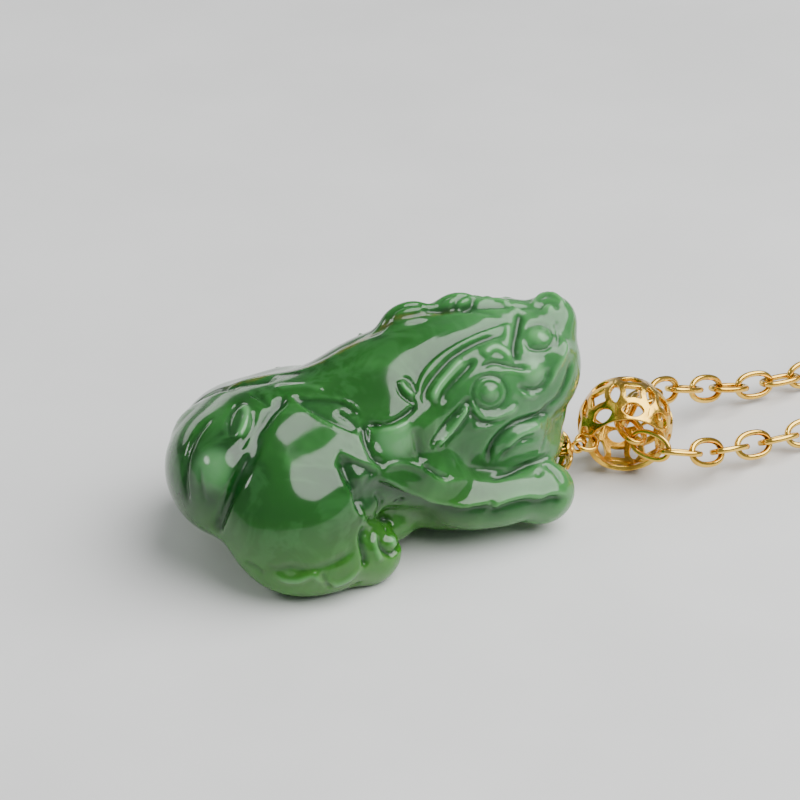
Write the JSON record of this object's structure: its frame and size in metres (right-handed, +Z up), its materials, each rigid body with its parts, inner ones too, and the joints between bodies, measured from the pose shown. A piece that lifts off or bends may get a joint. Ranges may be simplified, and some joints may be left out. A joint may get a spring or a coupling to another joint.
{
  "type": "carved jade pixiu pendant on a cable chain",
  "caption": "Carved jade crouching beast pendant with a gold petal cap, openwork barrel bail and cable chain.",
  "frame": {"origin": "centre of the bottom of the box round the stone, cap and bail, on the surface the pendant lies on", "axes": "+X from the rump towards the head and the bail, +Z up, the beast's right flank faces -Y"},
  "size_m": [0.0923, 0.0268, 0.0138],
  "materials": {
    "jade": "polished",
    "gold": "polished"
  },
  "bodies": {
    "pendant": {"jade_body": "jade", "bail_peg": "gold", "petal_cap": "gold"},
    "jump_ring": {"jump_ring": "gold"},
    "bail": {"bail": "gold"},
    "chain_front_09": {"chain_front_09": "gold"},
    "chain_front_08": {"chain_front_08": "gold"},
    "chain_front_07": {"chain_front_07": "gold"},
    "chain_front_06": {"chain_front_06": "gold"},
    "chain_front_05": {"chain_front_05": "gold"},
    "chain_front_04": {"chain_front_04": "gold"},
    "chain_front_03": {"chain_front_03": "gold"},
    "chain_front_02": {"chain_front_02": "gold"},
    "chain_front_01": {"chain_front_01": "gold"},
    "chain_inner_01": {"chain_inner_01": "gold"},
    "chain_inner_02": {"chain_inner_02": "gold"},
    "chain_inner_03": {"chain_inner_03": "gold"},
    "chain_back_01": {"chain_back_01": "gold"},
    "chain_back_02": {"chain_back_02": "gold"},
    "chain_back_03": {"chain_back_03": "gold"},
    "chain_back_04": {"chain_back_04": "gold"},
    "chain_back_05": {"chain_back_05": "gold"},
    "chain_back_06": {"chain_back_06": "gold"},
    "chain_back_07": {"chain_back_07": "gold"},
    "chain_back_08": {"chain_back_08": "gold"},
    "chain_back_09": {"chain_back_09": "gold"},
    "stored_chain": {"cord_front": "gold", "cord_coil": "gold", "cord_back": "gold", "clasp_body": "gold", "clasp_pin": "gold"},
    "clasp_lever": {"clasp_lever": "gold"},
    "end_ring": {"end_ring": "gold"}
  },
  "joints": [
    {"name": "ring_swing", "type": "hinge", "parent": "pendant", "child": "jump_ring", "pos_m": [0.00096, -0.0006, 0.00279], "axis": [0, 0, 1], "range_deg": [-10, 10]},
    {"name": "bail_swing", "type": "hinge", "parent": "jump_ring", "child": "bail", "pos_m": [0.00148, -0.00039, 0.00287], "axis": [0, 0, 1], "range_deg": [-8, 8]},
    {"name": "chain_run", "type": "slide", "parent": "bail", "child": "chain_inner_02", "axis": [0.0596, 0.9775, 0.2025], "range_m": [-0.0002, 0.0002]},
    {"name": "inner_01_hinge", "type": "hinge", "parent": "chain_inner_02", "child": "chain_inner_01", "pos_m": [0.00413, -0.00144, 0.00293], "axis": [-0.9741, 0.0126, 0.2257], "range_deg": [-3, 3]},
    {"name": "front_01_hinge", "type": "hinge", "parent": "chain_inner_01", "child": "chain_front_01", "pos_m": [0.00527, -0.0031, 0.0027], "axis": [-0.3261, -0.0951, -0.9406], "range_deg": [-6, 6]},
    {"name": "front_02_hinge", "type": "hinge", "parent": "chain_front_01", "child": "chain_front_02", "pos_m": [0.00722, -0.0035, 0.00236], "axis": [0.1169, 0.9082, -0.4019], "range_deg": [-6, 6]},
    {"name": "front_03_hinge", "type": "hinge", "parent": "chain_front_02", "child": "chain_front_03", "pos_m": [0.00911, -0.003, 0.00184], "axis": [0.0867, 0.5406, 0.8368], "range_deg": [-12, 12]},
    {"name": "front_04_hinge", "type": "hinge", "parent": "chain_front_03", "child": "chain_front_04", "pos_m": [0.01101, -0.00246, 0.00144], "axis": [-0.3294, 0.807, -0.4901], "range_deg": [-12, 12]},
    {"name": "front_05_hinge", "type": "hinge", "parent": "chain_front_04", "child": "chain_front_05", "pos_m": [0.01298, -0.00208, 0.00121], "axis": [0, 0.5094, 0.8605], "range_deg": [-12, 12]},
    {"name": "front_06_hinge", "type": "hinge", "parent": "chain_front_05", "child": "chain_front_06", "pos_m": [0.01498, -0.00182, 0.0011], "axis": [-0.139, 0.8552, -0.4993], "range_deg": [-12, 12]},
    {"name": "front_07_hinge", "type": "hinge", "parent": "chain_front_06", "child": "chain_front_07", "pos_m": [0.01699, -0.00165, 0.0011], "axis": [-0.0396, 0.4984, 0.866], "range_deg": [-12, 12]},
    {"name": "front_08_hinge", "type": "hinge", "parent": "chain_front_07", "child": "chain_front_08", "pos_m": [0.01901, -0.00158, 0.0011], "axis": [-0.0268, 0.8656, -0.5], "range_deg": [-12, 12]},
    {"name": "front_09_hinge", "type": "hinge", "parent": "chain_front_08", "child": "chain_front_09", "pos_m": [0.02103, -0.0016, 0.0011], "axis": [0.0052, 0.5, 0.866], "range_deg": [-12, 12]},
    {"name": "stored_chain_hinge", "type": "hinge", "parent": "chain_front_09", "child": "stored_chain", "pos_m": [0.02305, -0.00163, 0.0011], "axis": [0.0132, 0.8659, -0.5], "range_deg": [-4, 4]},
    {"name": "inner_03_hinge", "type": "hinge", "parent": "chain_inner_02", "child": "chain_inner_03", "pos_m": [0.00425, 0.00053, 0.00334], "axis": [-0.9741, 0.0126, 0.2257], "range_deg": [-6, 6]},
    {"name": "back_01_hinge", "type": "hinge", "parent": "chain_inner_03", "child": "chain_back_01", "pos_m": [0.00568, 0.00193, 0.00361], "axis": [0.0158, -0.2039, 0.9789], "range_deg": [-6, 6]},
    {"name": "back_02_hinge", "type": "hinge", "parent": "chain_back_01", "child": "chain_back_02", "pos_m": [0.00745, 0.00289, 0.00345], "axis": [0.4773, -0.8779, 0.0387], "range_deg": [-6, 6]},
    {"name": "back_03_hinge", "type": "hinge", "parent": "chain_back_02", "child": "chain_back_03", "pos_m": [0.00926, 0.00363, 0.00292], "axis": [0.139, 0.3359, 0.9316], "range_deg": [-12, 12]},
    {"name": "back_04_hinge", "type": "hinge", "parent": "chain_back_03", "child": "chain_back_04", "pos_m": [0.0111, 0.00418, 0.00229], "axis": [0.3544, -0.9021, 0.246], "range_deg": [-12, 12]},
    {"name": "back_05_hinge", "type": "hinge", "parent": "chain_back_04", "child": "chain_back_05", "pos_m": [0.01297, 0.00466, 0.0017], "axis": [0.2076, 0.321, 0.924], "range_deg": [-12, 12]},
    {"name": "back_06_hinge", "type": "hinge", "parent": "chain_back_05", "child": "chain_back_06", "pos_m": [0.01492, 0.00493, 0.00129], "axis": [0.1825, -0.95, 0.2533], "range_deg": [-12, 12]},
    {"name": "back_07_hinge", "type": "hinge", "parent": "chain_back_06", "child": "chain_back_07", "pos_m": [0.01693, 0.00508, 0.00111], "axis": [0.0642, 0.2647, 0.9622], "range_deg": [-12, 12]},
    {"name": "back_08_hinge", "type": "hinge", "parent": "chain_back_07", "child": "chain_back_08", "pos_m": [0.01895, 0.00519, 0.00109], "axis": [0.054, -0.9644, 0.2588], "range_deg": [-12, 12]},
    {"name": "back_09_hinge", "type": "hinge", "parent": "chain_back_08", "child": "chain_back_09", "pos_m": [0.02096, 0.00533, 0.0011], "axis": [-0.0197, 0.2581, 0.9659], "range_deg": [-12, 12]},
    {"name": "end_ring_hinge", "type": "hinge", "parent": "chain_back_09", "child": "end_ring", "pos_m": [0.02297, 0.00551, 0.0011], "axis": [0.0877, -0.9619, 0.2588], "range_deg": [-8, 8]},
    {"name": "clasp_lever_hinge", "type": "hinge", "parent": "stored_chain", "child": "clasp_lever", "pos_m": [0.03562, 0.01055, 0.00145], "axis": [0, 0, 1], "range_deg": [-18, 0], "stiffness_Nm_per_rad": 0.0002}
  ]
}
